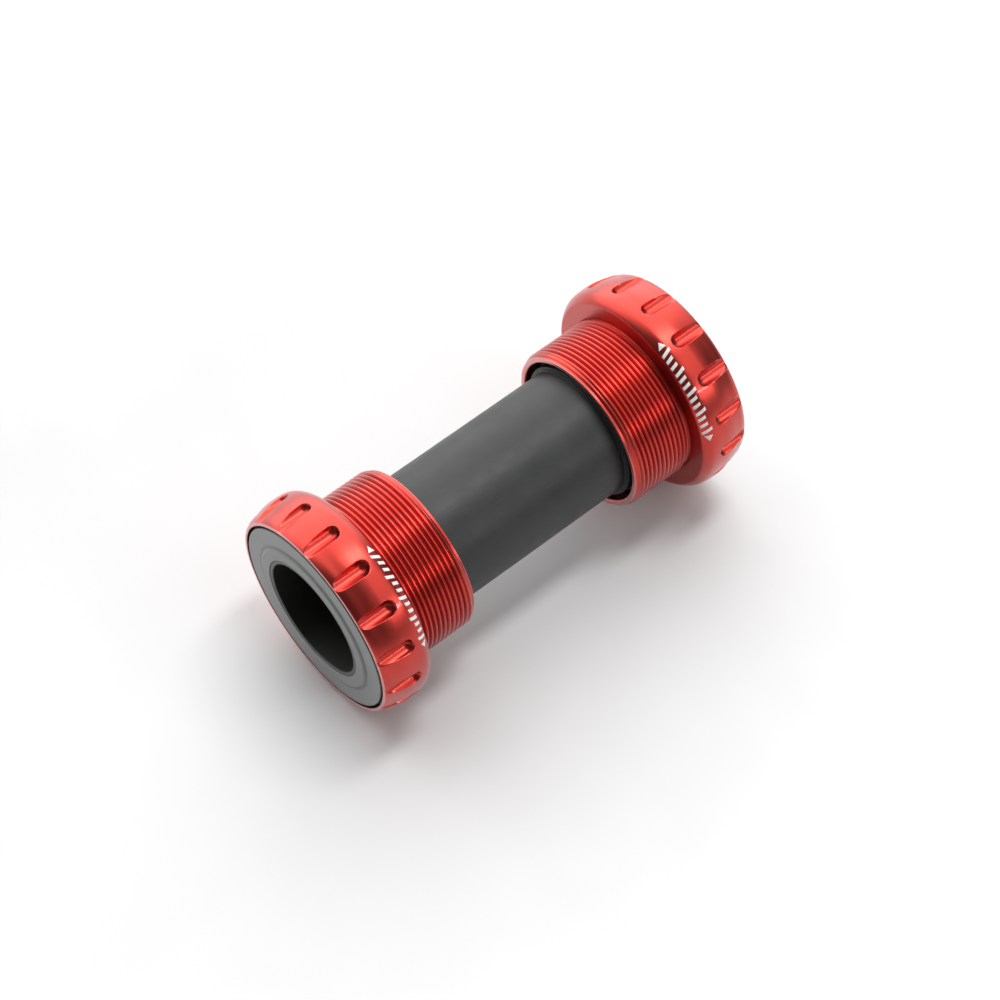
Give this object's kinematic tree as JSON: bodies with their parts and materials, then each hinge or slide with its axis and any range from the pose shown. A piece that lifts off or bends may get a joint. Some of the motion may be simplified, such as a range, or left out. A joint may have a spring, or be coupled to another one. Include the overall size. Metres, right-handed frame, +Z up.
{
  "type": "bottom bracket",
  "caption": "Threaded external-cup bottom bracket: flanged cups with tool notches, sealed bearings, dust covers and a plastic tube between them.",
  "frame": {"origin": "on the spindle axis, midway between the two cups", "axes": "+Y along the spindle towards the left (non-drive) side, +X towards the front of the bicycle, +Z up"},
  "size_m": [0.045, 0.0906, 0.045],
  "materials": {
    "red_anodised": "satin red anodised",
    "grey_polymer": "smooth satin grey",
    "black_polymer": "moulded satin charcoal",
    "bearing_steel": "ground",
    "ceramic": "polished ceramic",
    "cage_polymer": "moulded nylon",
    "black_rubber": "matte rubber"
  },
  "bodies": {
    "left_cup_assembly": {"left_cup": "red_anodised", "left_bearing_outer_ring": "bearing_steel", "left_bearing_outer_seal": "black_rubber", "left_bearing_inner_seal": "black_rubber"},
    "left_turning_parts": {"left_bearing_inner_ring": "bearing_steel", "left_spindle_bush": "grey_polymer", "left_dust_cover": "grey_polymer", "left_lip_seal": "black_rubber"},
    "left_ball_set": {"left_bearing_cage": "cage_polymer", "left_bearing_balls": "ceramic"},
    "right_cup_assembly": {"right_cup": "red_anodised", "right_bearing_outer_ring": "bearing_steel", "right_bearing_outer_seal": "black_rubber", "right_bearing_inner_seal": "black_rubber"},
    "right_turning_parts": {"right_bearing_inner_ring": "bearing_steel", "right_spindle_bush": "grey_polymer", "right_dust_cover": "grey_polymer", "right_lip_seal": "black_rubber"},
    "right_ball_set": {"right_bearing_cage": "cage_polymer", "right_bearing_balls": "ceramic"},
    "sleeve": {"centre_sleeve": "black_polymer", "left_sleeve_seal": "black_rubber", "right_sleeve_seal": "black_rubber"}
  },
  "joints": [
    {"name": "sleeve_slide", "type": "slide", "parent": "right_cup_assembly", "child": "sleeve", "axis": [0, 1, 0], "range_m": [0, 0.005]},
    {"name": "left_cup_turn", "type": "hinge", "parent": "sleeve", "child": "left_cup_assembly", "pos_m": [0, 0.03902, 0], "axis": [0, 1, 0], "continuous": true},
    {"name": "left_bearing_spin", "type": "hinge", "parent": "left_cup_assembly", "child": "left_turning_parts", "pos_m": [0, 0.03902, 0], "axis": [0, 1, 0], "continuous": true},
    {"name": "left_ball_orbit", "type": "hinge", "parent": "left_cup_assembly", "child": "left_ball_set", "pos_m": [0, 0.03902, 0], "axis": [0, 1, 0], "continuous": true},
    {"name": "right_bearing_spin", "type": "hinge", "parent": "right_cup_assembly", "child": "right_turning_parts", "pos_m": [0, -0.03902, 0], "axis": [0, 1, 0], "continuous": true},
    {"name": "right_ball_orbit", "type": "hinge", "parent": "right_cup_assembly", "child": "right_ball_set", "pos_m": [0, -0.03902, 0], "axis": [0, 1, 0], "continuous": true}
  ],
  "couplings": [
    {"joint": "left_ball_orbit", "follows": "left_bearing_spin", "ratio": 0.44355},
    {"joint": "right_ball_orbit", "follows": "right_bearing_spin", "ratio": 0.44355}
  ]
}
